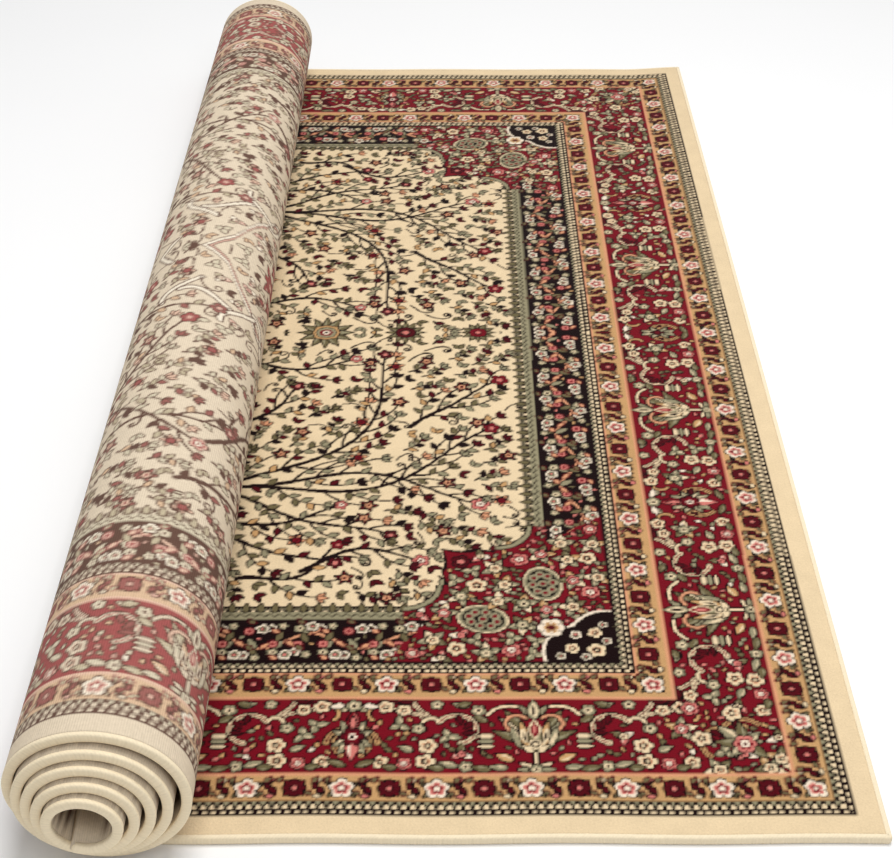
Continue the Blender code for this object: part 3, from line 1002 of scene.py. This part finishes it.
def add_ground():
    """The sheet as rings of places round its section, back then pile side, closed at both long edges."""
    inset = GROUND_INSET / NEAR_ROLL[0]
    flat = np.linspace(-1 + inset, 0, FLAT_STEPS, endpoint=False)
    wound = np.linspace(0, TURNS, TURNS * STEPS_PER_TURN, endpoint=False)
    tail = np.linspace(0, 1, TAIL_STEPS)
    across = np.linspace(GROUND_INSET, CARPET_WIDTH - GROUND_INSET, GROUND_ROWS)[:, None] / CARPET_WIDTH
    tails = TURNS + tail * (tail_end(across) - TURNS)
    ones = np.ones_like(across)
    turns = np.concatenate((ones * flat, ones * wound, tails), axis=1)
    columns = turns.shape[1]
    ring_turns = np.concatenate((turns, turns[:, ::-1]), axis=1)
    across = across + 0 * ring_turns
    rise = np.zeros_like(ring_turns)
    rise[:, columns:] = THICKNESS - GROUND_UNDER_PILE
    places = cloth_place(ring_turns, across, rise)
    number = np.arange(ring_turns.size).reshape(ring_turns.shape)
    caps = []
    for row, turned in ((0, True), (-1, False)):
        back, front = number[row, :columns], number[row, columns:][::-1]
        cap = np.stack((back[:-1], back[1:], front[1:], front[:-1]), axis=-1)
        caps.append(cap[:, ::-1] if turned else cap)
    faces = np.concatenate((tube_quads(ring_turns.shape), *caps))
    return add_cloth("ground_cloth", places, faces, ring_turns, across, BACK_COLOURS, back_finish.material)


ground = add_ground()
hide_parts("carpet")

# --- The serged edge ---
# Cream yarn is overcast round the cut edges, thread beside thread, in a firm rounded rim with a sewn line along
# its inner side; that inner side is painted darker, partly for the sewn line and partly as painted shade in the
# groove where the rim meets the cloth. It runs along the near edge, the right edge and the far edge, and into
# the roll's turns.
RIM_WIDTH = 0.0055
RIM_STAND = 0.0005
# The rim stands out less at the far end, where the turns lie closer, and not below the flat run, on the floor
RIM_FAR_LOSS = 0.7
RIM_EASE = 0.1
RIM_THREAD = 0.0030
RIM_SIDES = 14
RIM_STEP = 0.0035
RIM_CREAM = (*(np.array((238, 221, 189)) / 255.0) ** SRGB_GAMMA, 1.0)
# Past this distance from the edge the rim is painted darker: painted shade in the groove where it meets the
# cloth, and the sewn line
RIM_SEAM_SHADE_AT = 0.0047

rim_finish = Finish("serged_yarn", 0.88)
rim_finish.shader.inputs["Specular IOR Level"].default_value = 0.25
rim_map = rim_finish.node("ShaderNodeUVMap", {"uv_map": "cloth"})
rim_length = rim_finish.node("ShaderNodeSeparateXYZ", {}, {0: rim_map}, output="X")
rim_width = rim_finish.node("ShaderNodeSeparateXYZ", {}, {0: rim_map}, output="Y")
threads = ((rim_length + rim_width) * (tau / RIM_THREAD)).sine()
fuzz = rim_finish.noise(rim_map, 300.0, 3.0, 0.6)
from_edge = rim_length.lesser(rim_width).lesser(CARPET_WIDTH - rim_width)
# The last term paints the rim's inner side darker: painted shade in the groove where it meets the cloth, and
# the sewn line there
rim_finish.dye(RIM_CREAM, 0.86 + 0.015 * threads + 0.24 * fuzz - 0.3 * (from_edge > RIM_SEAM_SHADE_AT))
rim_finish.bump(0.25 * threads + fuzz, 0.3, 0.0008)


def rim_stations(length):
    """Distances along a rim of some length, closer at its two rounded ends."""
    end = RIM_WIDTH / 2 * (1.0 - np.cos(np.linspace(0, pi / 2, 6)))
    middle = np.linspace(end[-1], length - end[-1], int(length / RIM_STEP))
    return np.concatenate((end, middle[1:-1], length - end[::-1]))


def rim_section(stations):
    """Offsets of the rim's skin at each station: in from the edge, and up as a share of the half thickness.

    The section is a superellipse, c = sign(cos a) |cos a|^0.6 and the same with sin a. Towards both ends it
    shrinks as a round does: sqrt(1 - (1 - d / r)^2).
    """
    angle = np.linspace(0, tau, RIM_SIDES, endpoint=False)
    across = np.sign(np.cos(angle)) * abs(np.cos(angle)) ** 0.6
    up = np.sign(np.sin(angle)) * abs(np.sin(angle)) ** 0.6
    to_end = np.clip(np.minimum(stations, stations[-1] - stations) / (RIM_WIDTH / 2), 0, 1)
    closing = np.sqrt(1.0 - (1.0 - to_end) ** 2)[:, None]
    return RIM_WIDTH / 2 * (1 - closing * across), closing * up


def rim_rise(up, turn, across):
    """Height of the rim's skin over the cloth's back: it stands out a little beyond both faces of the cloth."""
    stand = RIM_STAND * (1.0 - RIM_FAR_LOSS * across)
    below = stand * smooth(turn / RIM_EASE)
    return THICKNESS / 2 * (1 + up) + stand * np.maximum(up, 0) - below * np.maximum(-up, 0)


def add_rim(name, turns, acrosses, up, turned=False):
    """A rim as a tube of rings, one at each station."""
    places = cloth_place(turns, acrosses, rim_rise(up, turns, acrosses))
    faces = tube_quads(turns.shape)[:, ::-1 if turned else 1]
    return add_cloth(name, places, faces, turns, acrosses, None, rim_finish.material)


def add_long_rim(name, edge):
    """The rim along the near (0) or far (1) long edge, from the right edge to the tail in the core."""
    stations = rim_stations(CARPET_LENGTH)
    inset, up = rim_section(stations)
    dense = np.linspace(-1, float(tail_end(float(edge))), 6000)
    turns = np.interp(stations, cloth_run(dense, float(edge)), dense)[:, None] + 0 * inset
    return add_rim(name, turns, abs(edge - inset / CARPET_WIDTH), up, turned=not edge)


def add_right_rim():
    """The rim along the right edge, from the near edge to the far one."""
    stations = rim_stations(CARPET_WIDTH)
    inset, up = rim_section(stations)
    return add_rim("rim_right", -1 + inset / NEAR_ROLL[0], stations[:, None] / CARPET_WIDTH + 0 * inset, up)


rims = [add_long_rim("rim_near", 0), add_long_rim("rim_far", 1), add_right_rim()]
